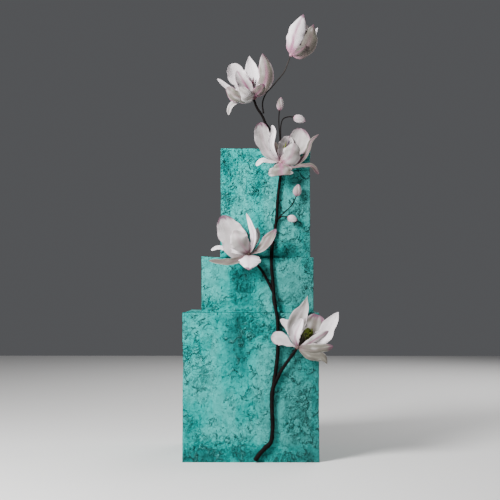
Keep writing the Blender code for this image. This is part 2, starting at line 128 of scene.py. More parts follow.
FLOWERS["flower_left"] = Flower((-3, -134, 383), 5.0, ((0.035, 0.018, 0.012), 0.2), (
    Petal(((-19, 4, 11), (-33, 7, 34), (-43, 7, 54), (-50, 6, 72)),
        54, 0.4, 0.56, 0.02, (0.1, -1, 0.2), 22, (0.3, 0.1, 1.4, 0.3, 0.5)),
    Petal(((-10, -12, 12), (-19, -22, 25), (-27, -21.5, 43)),
        36, 0.58, 0.7, 0, (0, 1, 0.15), 26, (0.6, 0.4, 0.2, 0.1, 0.68)),
    Petal(((7, -8, 16), (9, -11, 35), (3, -10, 55), (-5, -4, 76)),
        14, 0.48, 0.8, 0, (-0.5, -0.8, 0.2), 50, (0.5, 0.8, 0.5, 0.1, 0.05)),
    Petal(((11, 2, 20), (16, 3, 35), (15, 2, 50)),
        11, 0.6, 0.6, 0, (-0.3, -0.9, 0.2), 40, (0.2, 0.1, 0.2, 0.1, 0.8)),
    Petal(((17, -4, 7), (31, -8, 19), (50, -8, 46)),
        21, 0.62, 0.75, 0, (-0.2, -1, 0.3), 35, (0.3, 0.3, 2.2, 0.6, 1.15)),
    Petal(((-17, 0, 1), (-44, 0, 10), (-57, -2, 12), (-70, -4, 7)),
        9, 0.7, 0.45, 0, (0.1, -1, 0.4), 35, (0.1, 0.1, 0.1, 0, 0)),
    Petal(((-20, -8, -11), (-44, -12, -15), (-74, -12, -12)),
        13, 0.5, 0.6, 0, (0, -1, 0.3), 30, (0.7, 0.2, 0, 0.2, 1.6)),
    Petal(((0, -14, -13), (0, -18, -30)),
        43, 0.36, 0.9, -0.03, (0, 1, -0.2), 25, (0.3, 0.5, 2.0, 0, 0)),
))
FLOWERS["flower_right"] = Flower((86, -142, 212), 4.9, ((0.10, 0.06, 0.055), 0.1), (
    Petal(((-15, -2, 6), (-31, -4, 15), (-49, -6, 18)),
        27, 0.74, 0.6, 0, (0.1, -1, 0.3), 30, (0.3, 0.2, 0.5, 0.6, 0.35)),
    Petal(((-9, 4, 21), (-17, 6, 37), (-32, 4, 51)),
        19, 0.6, 0.6, 0.15, (0.2, -1, 0.2), 30, (0.1, 0.1, 0.2, 0, 0)),
    Petal(((-6, 5, 26), (0, 8, 51), (11, 8, 72), (19, 5, 95)),
        35, 0.44, 1.35, 0.05, (0.1, -1, 0), 35, (0.3, 0.1, 0, 0.1, 0.8)),
    Petal(((-5, -10, 21), (0, -15, 37), (8, -14, 53)),
        21, 0.58, 0.5, -0.05, (-0.1, -1, 0.2), 55, (0.9, 0.9, 0.1, 0.1, 0)),
    Petal(((15, 4, 17), (29, 7, 37), (39, 6, 59)),
        43, 0.7, 0.36, 0.03, (-0.1, -1, 0.1), 30, (0.2, 0.1, 1.6, 0.3, 1.0)),
    Petal(((25, 0, 10), (48, -2, 22), (59, -6, 41), (74, -9, 65)),
        32, 0.55, 0.85, 0.05, (-0.2, -1, 0.2), 35, (0.1, 0.1, 0.2, 0.1, 0.1)),
    Petal(((18, -16, 7), (34, -26, 18), (55, -30, 31)),
        18, 0.6, 0.7, 0.1, (-0.1, 1, 0.3), 40, (0.5, 1.0, 0.6, 0.4, 0.8)),
    Petal(((20, -16, -4), (40, -25, -2), (63, -28, 3)),
        24, 0.45, 0.55, 0, (0, 1, 0.4), 40, (0.2, 0.1, 0.9, 0.1, 1.35)),
    Petal(((19, -12, -12), (35, -18, -16), (45, -20, -18), (53, -18, -29)),
        22, 0.5, 0.85, 0, (0, 1, 0.3), 40, (0.1, 0.0, 0.1, 0.0, 1.5)),
))
# Spindles that show between petals, from each flower's base: foot, tip, radius and colour
PEEPS = {
    "flower_upper": (
        ((-4, 4, 20), (-2, 8, 40), 2.2, (0.10, 0.02, 0.04)),
        ((-8, 3, 22), (-8, 6, 35), 1.1, (0.22, 0.12, 0.13))),
    "flower_crown": (
        ((8, 0, 27), (10, 1, 39), 1.6, (0.13, 0.15, 0.03)),
        ((5, 0, 24), (5, 1, 33), 1.3, (0.10, 0.11, 0.04)),
        ((14, 1, 36), (16, 2, 41), 2.0, (0.07, 0.05, 0.08))),
}
# The cone of stamens in the open flower: its foot and its top from the flower's base, and radii
STAMENS = ("flower_right", (2, -3, 2), (21.5, -14, 31), 4.0, 13.8)

BUDS = {
    "bud_high": Bud((53.5, -114, 652.5), (56.5, -115.5, 677), 6.3, 0.5),
    "bud_beside": Bud((80, -116, 639.5), (102, -119, 632), 7.6, 0.1),
    "bud_upper": Bud((84.5, -123, 491), (89, -125, 513), 7.6, 0.45),
    "bud_lower": Bud((68.5, -122, 452), (86, -125, 446), 6.8, 0),
}

STEMS = {
    "main": Stem((
        (8, -131.5, 5), (17, -132, 17), (26, -132, 27), (37, -132, 39), (40, -132, 65), (39, -132, 93),
        (39, -132, 123), (43, -132, 149), (48, -132, 186), (50, -132, 212), (50, -132, 240),
        (49, -131.5, 264), (46, -130.5, 282), (43, -126.5, 302), (41, -123.4, 330), (38.6, -122.8, 356),
        (38.3, -121.4, 380), (40, -117.4, 400), (44, -115.8, 424), (48, -115.6, 453), (50, -115.5, 486),
        (54, -115.4, 521), (56, -115.4, 541), (52, -115.4, 569), (41, -117, 600), (34, -119, 618),
        (28, -120, 627), (21, -123, 642), (12, -127, 655), (7, -130, 667),
    ), 4.1, 2.2),
    "left": Stem((
        (42, -124.5, 313), (32, -125, 332), (21, -125, 352), (9, -127, 367), (0.5, -131, 378),
    ), 2.6, 2.3),
    "right": Stem(((42, -131, 142), (57, -134, 170), (72, -136, 192), (82.6, -139.6, 207.4)), 3.4, 2.6),
    "crown": Stem(((55.5, -115.3, 541), (56, -118.2, 546.5), (56.2, -121.2, 550)), 2.0, 1.8),
    "top": Stem((
        (23.6, -124, 646), (22, -124.5, 665), (28, -126, 682), (38, -127, 693), (49, -128, 706),
        (62, -129, 722), (69, -130, 739), (72.3, -130, 748.2),
    ), 1.3, 1.1),
    "high": Stem((
        (55, -115.3, 552), (55.5, -115, 575), (54.5, -113.2, 597), (53, -112.5, 620), (52.5, -113, 637),
        (53.4, -114, 651.6),
    ), 1.2, 1.0),
    "beside": Stem((
        (55, -115.3, 556), (57, -115.2, 578), (56.3, -114, 597), (56, -113.2, 622), (60, -114, 636),
        (70, -115, 640.5), (79, -116, 639.8),
    ), 1.2, 1.0),
    "upper": Stem((
        (48, -115.3, 445), (53, -117, 452), (62, -119, 461), (75, -121, 473), (84.2, -122.9, 490.2),
    ), 1.2, 1.0),
    "lower": Stem(((48.5, -115.4, 448), (60, -119, 454), (67.5, -121.8, 452.3)), 1.1, 1.0),
}
# Swollen knots of the main stem: where along it, as a share of its length, and by how much
KNOTS = ((0.045, 0.10), (0.19, 0.14), (0.44, 0.22), (0.575, 0.14))
KNOT_REACH = 0.012
FLARE = 0.35
FLARE_REACH = 3

# Icing: spacing of the relief's points, and the rounding of the edges
FRONT_SPACING = 1.75
SIDE_SPACING = 2.6
EDGE_RADIUS = 2.2
# Lines pressed into the icing: their depth, and the crumpling at which they start and are full
CRACKS = Line(2.2, 0.25, 0.8)
FOLDS = Line(1.2, 0.1, 0.6)
CREASES = Line(1.0, 0.05, 0.8)
# Their widths, in the value of the cells or of the noise that they follow
CRACK_WIDTH = 0.2
CREASE_WIDTH = 0.3
FOLD_WIDTH = 0.05
WRINKLE_WIDTH = 0.13
PEBBLE_HEIGHT = 0.5
GRAIN_DEPTH = 0.2
SWELL_DEPTH = 0.5
DEEPEST = 4.5
FOOT_FADE = 3
SPOT_SOFTNESS = 1.6
# Lengths of waves and an offset that parts each noise: how lines wander, with their reach, then
# the cells that they follow, then the layers, with their upright squash
NOISE_SEED = 5
WANDERS = ((26.0, 0.0, 7.0), (9.0, 5.0, 2.6))
CRACK_CELLS = (17.0, 0.0)
CREASE_CELLS = (7.5, 40.0)
LAYERS = {
    "patches": (48.0, 11.0, 1), "patch_edges": (19.0, 3.0, 1),
    "crack_gaps": (15.0, 21.0, 1), "crease_gaps": (8.0, 31.0, 1),
    "folds": (30.0, 60.0, 1), "wrinkles": (11.0, 65.0, 1), "swell": (34.0, 90.0, 1),
    "grain": (3.6, 70.0, 0.6), "fine_grain": (1.9, 80.0, 1),
    "drips": (13.0, 100.0, 0.22), "fine_drips": (6.0, 110.0, 0.3),
    "blots": (60.0, 120.0, 1),
    "bark_grain": (2.4, 7.0, 0.45), "bark_lumps": (6.0, 9.0, 1),
}

# Deep washes of colour on the front, as x, z, half width, half height and strength
WASHES = (
    (-24, 258, 34, 28, 0.6), (-26, 212, 23, 54, 0.85), (-22, 160, 12, 40, 0.25), (22, 245, 26, 24, 0.4),
    (-114, 203, 8, 8, 0.45), (-90, 8, 60, 18, 0.8), (0, 12, 60, 16, 0.7), (98, 8, 40, 20, 0.8),
    (-112, 60, 16, 34, 0.35), (110, 170, 20, 26, 0.6), (122, 100, 12, 90, 0.5), (85, 60, 26, 30, 0.2),
    (-14, 325, 22, 42, 0.72), (-16, 292, 14, 18, 0.5), (-30, 350, 12, 16, 0.3), (105, 364, 14, 18, 0.6),
    (-80, 284, 20, 10, 0.35), (75, 282, 30, 9, 0.45), (-44, 552, 15, 24, 0.5), (-5, 570, 26, 13, 0.4),
    (18, 530, 12, 18, 0.4), (8, 498, 14, 14, 0.5), (-42, 495, 10, 20, 0.45), (14, 446, 11, 44, 0.4),
    (100, 410, 14, 40, 0.55), (78, 388, 26, 14, 0.6), (-40, 392, 18, 14, 0.5), (92, 545, 22, 26, 0.35),
)
# Pale places on the front, where the icing stays smooth
PALE = (
    (-58, 198, 24, 34, 1), (-70, 95, 34, 36, 0.9), (20, 172, 16, 30, 0.9), (14, 62, 20, 14, 0.6),
    (-65, 335, 26, 30, 0.9), (60, 330, 26, 26, 0.5), (-18, 478, 16, 28, 0.8), (36, 478, 14, 36, 0.8),
    (70, 515, 14, 30, 0.6), (-15, 425, 18, 20, 0.6),
)
# Places on the front where the icing is crumpled most
CRUMPLES = (
    (-88, 170, 30, 16, 0.8), (-84, 110, 10, 34, 0.6), (-105, 62, 18, 30, 0.9), (0, 248, 60, 30, 0.8),
    (10, 82, 16, 14, 0.8), (88, 72, 30, 26, 1), (60, 130, 14, 16, 0.7), (98, 110, 20, 40, 0.8),
    (-60, 28, 62, 20, 0.8), (-114, 203, 10, 12, 1), (-70, 184, 12, 16, 0.6), (60, 10, 66, 14, 0.5),
    (-22, 330, 20, 34, 0.9), (-78, 292, 26, 18, 0.9), (106, 350, 14, 30, 0.8), (-70, 345, 8, 8, 0.8),
    (46, 300, 40, 20, 0.5), (-42, 545, 20, 34, 1), (14, 512, 26, 36, 1), (-44, 480, 14, 26, 0.9),
    (-24, 485, 20, 12, 0.8), (24, 440, 20, 36, 0.7), (84, 400, 34, 24, 0.9), (84, 462, 20, 30, 0.6),
)

PALE_TEAL = (0.035, 0.33, 0.305, 1)
LIGHT_TEAL = (0.0, 0.30, 0.276, 1)
MID_TEAL = (0.0, 0.16, 0.15, 1)
DEEP_TEAL = (0.0, 0.09, 0.083, 1)
# Near-black teal in the cracks: painted shade and gathered wash
CRACK_SHADE_AND_STAIN_TEAL = (0.0, 0.028, 0.027, 1)
# Pale teal on the lips: wear and painted highlight
WORN_AND_LIT_TEAL = (0.13, 0.44, 0.41, 1)
# The grey teal that the painted shade on the right mixes in
SHADE_GREY_TEAL = (0.2, 0.2, 0.19, 1)
WASH_STOPS = ((0.0, PALE_TEAL), (0.28, LIGHT_TEAL), (0.68, MID_TEAL), (1.0, DEEP_TEAL))
# Painted shade on the right: where across the cake it grows, in metres, and what it does to the icing
RIGHT_SHADE_SPAN = (-0.03, 0.15)
RIGHT_SHADE_WASH = -0.3
RIGHT_SHADE_DARKENING = -0.43
RIGHT_SHADE_GREYING = 0.09
# Painted light higher up: from which height to which, in metres, the icing brightens, and by how much
HIGH_PAINTED_LIGHT = (0.3, 0.45, 1.0, 1.1)
MOTTLE_WASH = 0.1
STREAK_WASH = 0.3
# Deep relief turns the wash deeper: painted shade and gathered wash
SUNK_SHADE_AND_WASH = 0.08
# Crackle: plates per metre, bends in plates, and cracks and lips in the noise's own value
WIDE_PLATES = 56
FINE_PLATES = 125
BEND_REACH = 0.9
CRACK_REACH = 0.018
LIP_REACH = 0.06
PLATE_LEAN = (0.25, 1.15)
LIP_RISE = 0.25
CRACK_DROP = -0.45
# Share of the lips' paling, which is wear and painted highlight
LIP_WEAR_AND_HIGHLIGHT = 0.35
# Share of the cracks' darkening, which is painted shade and gathered wash
CRACK_SHADOW_AND_STAIN = 0.22
# The shaders' noise: waves per metre, detail, roughness and stretch
TEXTURES = {
    "mottle": (70, 6, 0.6), "streaks": (1, 3, 0.5, (260, 260, 26)),
    "grain": (700, 5, 0.65), "dabs": (190, 3, 0.6), "sugar": (420, 4, 0.6),
    "bark": (160, 5, 0.65), "bark_relief": (1, 5, 0.65, (1100, 1100, 420)),
}

PETAL_GRID = (28, 44)
PETAL_THICKNESS = 1.2
RIM_CROWDING = 0.92
END_CROWDING = 0.65
# Noise over a petal: waves along it, across it and from petal to petal
OUTLINE_WAVES = (5, 3, 5)
FLUTTER_WAVES = (9, 2, 10)
CLOUD_WAVES = (5, 2.2, 7)
FINE_WAVES = (6, 19.8, 7)
OUTLINE_WAVE = 0.2
RIM_FLUTTER = 0.2
GROOVE_DEPTH = 0.8
GROOVE_WIDTH = 0.09
VEIN_DEPTH = 0.16
VEIN_TURNS = 26
SUGAR_WHITE = np.array((0.86, 0.81, 0.83))
# The grey that petals turn to: partly the sugar's own grey, partly painted shade
SUGAR_GREY = np.array((0.146, 0.148, 0.113))
PINK = np.array((0.33, 0.115, 0.205))
MAGENTA = np.array((0.13, 0.045, 0.085))
SUGAR_STOPS = ((0.3, (0.90, 0.90, 0.90, 1)), (0.7, (1, 1, 1, 1)))
CUP_SHRINK = 0.82
CUP_SIDES = 16
CUP_RINGS = 10
# The collar under a bud: places along it, and radii for a bud of COLLAR_BUD radius
COLLAR_BROWN = np.array((0.04, 0.02, 0.018))
COLLAR_STEPS = np.array((-1.0, 0.5, 2.0, 3.4))
COLLAR_RADII = np.array((1.3, 2.2, 2.7, 2.9))
COLLAR_BUD = 7

BARK_BROWN = np.array((0.004, 0.003, 0.003))
WIRE_GREY = np.array((0.034, 0.030, 0.028))
# Between which heights the topmost flower's wire turns from brown to grey, in mm
WIRE_TURNS = (675, 745)
STEM_STEP = 1.6
STEM_REACH = 2.5
STEM_SIDES = 16
BARK_ROUGHNESS = 0.07
BARK_STOPS = ((0.3, (0, 0, 0, 1)), (0.55, (0.002, 0.001, 0.001, 1)), (0.75, (0.010, 0.006, 0.005, 1)))
END_BULGE = 0.5

CONE_BROWN = np.array((0.007, 0.005, 0.003))
CONE_RINGS = 14
CONE_GIRTH = 0.86
STAMEN_GREEN = np.array((0.07, 0.09, 0.010))
STAMEN_SEED = 5
STAMEN_SIDES = 6
STAMEN_COUNT = 210
STAMEN_LENGTH = (3.0, 5.5)
STAMEN_RADII = np.array((0.65, 0.55, 0.5, 0.6, 0.4))
STAMEN_FROM = 0.25
STAMEN_SPREAD = 0.72
STAMEN_SWAY = 0.16
STAMEN_CURL = 0.5
PEEP_RADII = np.array((0.5, 1, 0.9, 0.6, 0.15))
GOLDEN_TURN = math.pi * (3 - math.sqrt(5))
BUD_SIDES = 36
BUD_RINGS = 26
BUD_PETALS = 3
BUD_TWIST = 0.55
LAP_EDGE = 0.12
LAP_HEIGHT = 0.10

FLOOR_HALF = 3000.0
FLOOR_COLOUR = (0.72, 0.71, 0.70, 1)
FLOOR_ROUGHNESS = 0.9
WORLD_COLOUR = (0.93, 0.95, 1.0, 1)
WORLD_STRENGTH = 0.1
# Studio lamps: place, where they look, size in metres and power in watts
LAMPS = (
    ("key", (-0.9, -1.05, 1.15), (0, 0, 0.42), 0.6, 68),
    ("fill", (1.8, -1.9, 0.9), (0, 0, 0.35), 1.6, 1.5),
    ("side", (2.0, 0.8, 0.9), (0, 0, 0.4), 1.2, 24),
    ("back", (0.9, 1.8, 1.7), (0, 0, 0.4), 1.4, 30),
)

# The photo's focal length and its centre's shift from straight ahead, in pixels
FOCAL_PIXELS = 1081
ASIDE_PIXELS = 8
ABOVE_PIXELS = 38
CAMERA_PLACE = (0.0134, -2.127, 0.3206)
CAMERA_YAW = math.atan(ASIDE_PIXELS / FOCAL_PIXELS)
CAMERA_PITCH = math.atan(ABOVE_PIXELS / FOCAL_PIXELS)
CAMERA_LENS = 77.83
SENSOR = 36.0


def make_object(name, data):
    made = bpy.data.objects.new(name, data)
    bpy.context.scene.collection.objects.link(made)
    return made


def mesh_from(name, places, faces):
    """A smooth mesh from places in millimetres and lists of corners."""
    mesh = bpy.data.meshes.new(name)
    mesh.from_pydata((np.asarray(places) * MM).tolist(), [], faces)
    mesh.polygons.foreach_set("use_smooth", [True] * len(mesh.polygons))
    return mesh


def set_values(mesh, name, values):
    mesh.attributes.new(name, "FLOAT", "POINT").data.foreach_set("value", np.asarray(values, np.float32))


def set_colours(mesh, name, colours):
    full = np.ones((len(colours), 4), np.float32)
    full[:, :3] = colours
    mesh.color_attributes.new(name, "FLOAT_COLOR", "POINT").data.foreach_set("color", full.ravel())


def noise_at(places, scale, offset=0.0):
    """Smooth noise, about -1 to 1, whose waves are as long as the scale in millimetres."""
    return np.array([noise.noise(place) for place in (places / scale + offset).tolist()])


def drift_at(places, scale, offset):
    return np.array([noise.noise_vector(place)[:] for place in (places / scale + offset).tolist()])


def cells_at(places, scale, offset):
    """Distance to the nearest cell centre and to the cell's edge, in cell sizes."""
    found = [noise.voronoi(place)[0][:2] for place in (places / scale + offset).tolist()]
    nearest, second = np.array(found).T
    return nearest, second - nearest


def layer_at(places, name):
    length, offset, squash = LAYERS[name]
    return noise_at(places * (1, 1, squash), length, offset)


def smooth_step(values, low, high):
    share = np.clip((values - low) / (high - low), 0, 1)
    return share * share * (3 - 2 * share)


def fading(values, width):
    """One where a value is 0, falling to nothing at the width."""
    return 1 - smooth_step(values, 0.0, width)


def bell(values, width):
    return np.exp(-((values / width) ** 2))


def unit(rows):
    return rows / np.linalg.norm(rows, axis=-1, keepdims=True)


def toward(colours, goal, shares):
    return colours + (goal - colours) * shares[..., None]


def turns(sides):
    return np.arange(sides) * 2 * math.pi / sides


def spots_at(places, spots):
    """The strongest of the soft spots at each place on the front."""
    total = np.zeros(len(places))
    for x, z, half_width, half_height, strength in spots:
        away = ((places[:, 0] - x) / half_width) ** 2 + ((places[:, 2] - z) / half_height) ** 2
        total = np.maximum(total, strength * np.exp(-away / SPOT_SOFTNESS))
    return total


def box_lattice(counts):
    """The points of an open box's surface as lattice steps, and its quads."""
    quads = []
    for axis, end in ((0, 0), (0, 1), (1, 0), (1, 1), (2, 1)):
        first, second = [other for other in range(3) if other != axis]
        steps = np.mgrid[0:counts[first], 0:counts[second]].reshape(2, -1).T
        turn = ((0, 0), (1, 0), (1, 1), (0, 1))
        outward = (end == 1) != (axis == 1)
        ring = []
        for corner in turn if outward else turn[::-1]:
            place = np.empty((len(steps), 3), int)
            place[:, axis] = end * counts[axis]
            place[:, first] = steps[:, 0] + corner[0]
            place[:, second] = steps[:, 1] + corner[1]
            ring.append(place)
        quads.append(np.stack(ring, axis=1))
    every = np.concatenate(quads)
    points, index = np.unique(every.reshape(-1, 3), axis=0, return_inverse=True)
    return points, index.reshape(-1, 4)


def rim_ring(points, counts):
    """The underside's rim, in order, clockwise seen from above."""
    places = {tuple(point): number for number, point in enumerate(points.tolist()) if point[2] == 0}
    across, deep, _ = counts
    ring = [(0, j) for j in range(deep)] + [(i, deep) for i in range(across)]
    ring += [(across, j) for j in range(deep, 0, -1)] + [(i, 0) for i in range(across, 0, -1)]
    return [places[(i, j, 0)] for i, j in ring]


def tier_surface(tier, foot, counts, points):
    """Places on the tier's plain form, in millimetres, and the way out at each."""
    size = np.array((tier.side, tier.side, tier.height))
    low = np.array((tier.x - tier.side / 2, tier.y - tier.side / 2, foot))
    high = low + size
    places = low + points / np.array(counts) * size
    inner = np.clip(places, low + (EDGE_RADIUS, EDGE_RADIUS, 0), high - EDGE_RADIUS)
    out = unit(places - inner)
    places = inner + out * EDGE_RADIUS
    level = np.clip((places[:, 2] - foot) / tier.height, 0, 1) * 2 - 1
    hollow = HOLLOW_DEPTH * (0.5 + 0.5 * noise_at(places, HOLLOW_WAVE)) * (1 - level**4)
    places = places - out * (hollow * (np.abs(out[:, 2]) < 0.5))[:, None]
    side = (places[:, :2] - (tier.x, tier.y)) / (tier.side / 2)
    reach = np.hypot(*(tier.side / 2 * (1 - np.clip(np.abs(side), 0, 1))).T)
    lift = np.where(side[:, 0] < 0, *tier.lifts) * bell(reach, LIFT_REACH)
    places[:, 2] += lift * smooth_step(level, 0.9, 1)
    return places, out


def pressed(line, where, crumple):
    return line.depth * where * smooth_step(crumple, line.starts, line.full)


def icing_field(places, out):
    """How washed, crumpled and cracked the icing is at each place, and how deep its relief is."""
    front = smooth_step(-out[:, 1], 0.5, 0.9)
    wander = sum(drift_at(places, scale, offset) * reach for scale, offset, reach in WANDERS)
    patchy = smooth_step(layer_at(places, "patches") + 0.6 * layer_at(places, "patch_edges"), -0.1, 0.5)
    smooth = spots_at(places, PALE) * front
    crumple = np.maximum(spots_at(places, CRUMPLES) * front, patchy * (0.75 - 0.15 * front))
    crumple = np.clip(np.maximum(crumple, 0.3) * (1 - 0.75 * smooth), 0.08, 1)

    _, edge = cells_at(places + wander, *CRACK_CELLS)
    crack = fading(edge, CRACK_WIDTH) * smooth_step(layer_at(places, "crack_gaps"), -0.2, 0.2)
    near, small_edge = cells_at(places + wander * 1.3, *CREASE_CELLS)
    crease = fading(small_edge, CREASE_WIDTH) * smooth_step(layer_at(places, "crease_gaps"), -0.25, 0.2)
    fold = fading(np.abs(layer_at(places + wander, "folds")), FOLD_WIDTH)
    wrinkle = fading(np.abs(layer_at(places + wander * 0.6, "wrinkles")), WRINKLE_WIDTH)
    grain = layer_at(places, "grain") + 0.6 * layer_at(places, "fine_grain")

    depth = pressed(CRACKS, crack, crumple) + pressed(FOLDS, fold, crumple)
    depth += pressed(CREASES, np.maximum(crease, 0.7 * wrinkle), crumple)
    depth += PEBBLE_HEIGHT * near * crumple
    depth += GRAIN_DEPTH * grain * (0.35 + 0.65 * crumple)
    depth += SWELL_DEPTH * (0.5 + 0.5 * layer_at(places, "swell"))

    drips = layer_at(places, "drips") + 0.5 * layer_at(places, "fine_drips")
    blots = smooth_step(layer_at(places, "blots") + 0.35 * drips, -0.05, 0.75)
    wash = np.maximum(spots_at(places, WASHES) * front, blots * (0.7 - 0.45 * front))
    wash = np.clip(wash * (1 + 0.3 * drips) + 0.06 * drips + 0.07 * crumple - 0.12 * smooth, 0, 1)
    lines = np.maximum(np.maximum(crack, 0.8 * fold), np.maximum(0.7 * crease, 0.6 * wrinkle))
    cracked = np.clip(lines * smooth_step(crumple, 0.45, 0.9), 0, 1)
    return wash, crumple, cracked, depth


def add_tier(name, tier, foot):
    counts = [round(tier.side / FRONT_SPACING), round(tier.side / SIDE_SPACING)]
    counts.append(round(tier.height / FRONT_SPACING))
    points, quads = box_lattice(counts)
    places, out = tier_surface(tier, foot, counts, points)
    wash, crumple, cracked, depth = icing_field(places, out)
    depth *= np.clip((places[:, 2] - foot) / FOOT_FADE, 0, 1)
    places = places - out * depth[:, None]
    ring = rim_ring(points, counts)
    mesh = mesh_from(name.replace("tier", "icing"), places, quads.tolist() + [ring])
    mesh.polygons[-1].use_smooth = False
    set_values(mesh, "wash", wash)
    set_values(mesh, "crumple", crumple)
    set_values(mesh, "cracked", cracked)
    set_values(mesh, "sunk", np.clip(depth / DEEPEST, 0, 1))
    sharp = np.zeros(len(mesh.edges), bool)
    ends = np.array([edge.vertices[:] for edge in mesh.edges])
    sharp[np.isin(ends, ring).all(axis=1)] = True
    mesh.attributes.new("sharp_edge", "BOOLEAN", "EDGE").data.foreach_set("value", sharp)
    dress(mesh, icing_material(), name)


def smooth_route(points, count):
    """Points evenly spaced along a Catmull-Rom curve through the given ones."""
    points = np.asarray(points, float)
    ends = (2 * points[0] - points[1], 2 * points[-1] - points[-2])
    knots = np.vstack([ends[0], points, ends[1]])
    pieces = []
    for a, b, c, d in zip(knots, knots[1:], knots[2:], knots[3:]):
        t = np.linspace(0, 1, CURVE_STEPS)[:, None]
        cubic = 3 * b - a - 3 * c + d
        pieces.append(0.5 * (2 * b + (c - a) * t + (2 * a - 5 * b + 4 * c - d) * t**2 + cubic * t**3))
    curve = np.vstack(pieces)
    run = np.concatenate([[0], np.cumsum(np.linalg.norm(np.diff(curve, axis=0), axis=1))])
    even = np.linspace(0, run[-1], count)
    return np.stack([np.interp(even, run, curve[:, axis]) for axis in range(3)], axis=-1)


def petal_noise(along, across, phase, waves):
    places = np.stack([along, across, np.full(len(along), phase)], axis=-1) * waves
    return np.array([noise.noise(place) for place in places.tolist()])


def petal_points(petal, along, across, phase):
    """Places on a petal for shares along its rib (0 to 1) and across it (-1 to 1)."""
    rib = smooth_route(((0, 0, 0), *petal.rib), RIB_SAMPLES)
    tangents = unit(np.gradient(rib, axis=0))
    facing = np.asarray(petal.facing, float)
    hollow_side = unit(facing - tangents * (tangents @ facing)[:, None])
    sideways = np.cross(tangents, hollow_side) * (1 if facing[1] <= 0 else -1)

    def read(rows):
        steps = along * (RIB_SAMPLES - 1)
        return np.stack([np.interp(steps, range(RIB_SAMPLES), rows[:, axis]) for axis in range(3)], -1)

    growth = petal.blunt * petal.peak / (1 - petal.peak)
    outline = (along / petal.peak) ** growth * ((1 - along) / (1 - petal.peak)) ** petal.blunt
    outline = np.maximum(outline, PETAL_CLAW * np.clip((1 - along) / CLAW_END, 0.1, 1))
    half = petal.width / 2 * outline * (1 + petal.skew * across)
    arc = math.radians(petal.cup) * np.clip(along / CUP_OPENS, 0.4, 1)
    wave = petal_noise(along, np.sign(across), phase, OUTLINE_WAVES)
    out = half / arc * np.sin(across * arc) * (1 + OUTLINE_WAVE * np.abs(across) ** 3 * wave)
    sink = half / arc * (1 - np.cos(across * arc))
    ruffles = RUFFLE_WAVES * along + phase + RUFFLE_SIDES * np.sign(across)
    sink = sink + PETAL_RUFFLE * half * across**2 * np.sin(2 * math.pi * ruffles)
    sink = sink + fine_relief(along, across, half, phase)
    return read(rib) + read(sideways) * out[:, None] + read(hollow_side) * sink[:, None]


def fine_relief(along, across, half, phase):
    """Millimetres that the midrib groove, the veins and the thin rim's flutter add to a petal."""
    groove = GROOVE_DEPTH * bell(across, GROOVE_WIDTH) * np.clip(1.1 - along, 0, 1)
    lines = np.sin(across * VEIN_TURNS + 3 * np.sin(along * 5 + phase)) * (1 - across**2)
    veins = VEIN_DEPTH * lines * np.clip(half / 6, 0, 1) * np.clip(along * 6, 0, 1)
    flutter = petal_noise(along, np.sign(across), phase, FLUTTER_WAVES) * np.clip(along * 3, 0, 1)
    return groove + veins + RIM_FLUTTER * half * np.abs(across) ** 4 * flutter


def petal_colours(dye, along, across, phase, cup):
    """Sugar white, greyed and dusted with pink as its dye says, darkened as painted shade where its grey
    runs high and at the foot, and stained by the cup.
    """
    foot_pink, rib_pink, tip_pink, rim_pink, grey_and_shade = dye
    stain, stain_reach = cup
    cloud = petal_noise(along, across, phase, CLOUD_WAVES)
    fine = petal_noise(along, across, phase, FINE_WAVES)
    edge = smooth_step(np.abs(across) + 0.1 * cloud, 0.7, 1.0)
    # Grey is partly the sugar's own and partly painted shade; the rise towards the foot is painted shade
    # in the flower's heart, and grey past one darkens a petal further as painted shade
    grey = grey_and_shade * (0.85 + 0.5 * cloud) * (1 - 0.4 * edge) + 0.3 * bell(along, 0.2)
    colours = toward(SUGAR_WHITE, SUGAR_GREY, np.clip(grey, 0, 1))
    colours = colours * (1 - 0.6 * np.clip(grey - 1, 0, 1))[:, None]
    band = bell(across, 0.2 + 0.06 * cloud) * (1 - 0.45 * along)
    foot = bell(along, 0.22) * (0.8 + 0.4 * fine)
    rim = smooth_step(np.abs(across) + 0.12 * cloud, 0.8, 1.05) * smooth_step(along, 0.2, 0.5)
    veins = smooth_step(fine, 0.0, 0.5) * (1 - along)
    pink = rib_pink * (band + 0.25 * veins) * (0.8 + 0.5 * fine) + foot_pink * foot + rim_pink * rim + 0.06
    colours = toward(colours, PINK, np.clip(pink, 0, 0.95))
    tip = tip_pink * smooth_step(along + 0.1 * cloud + 0.05 * fine, 0.82, 1.0)
    colours = toward(colours, MAGENTA, np.clip(tip, 0, 0.9))
    return toward(colours, stain, 0.85 * bell(along + 0.03 * fine, stain_reach))


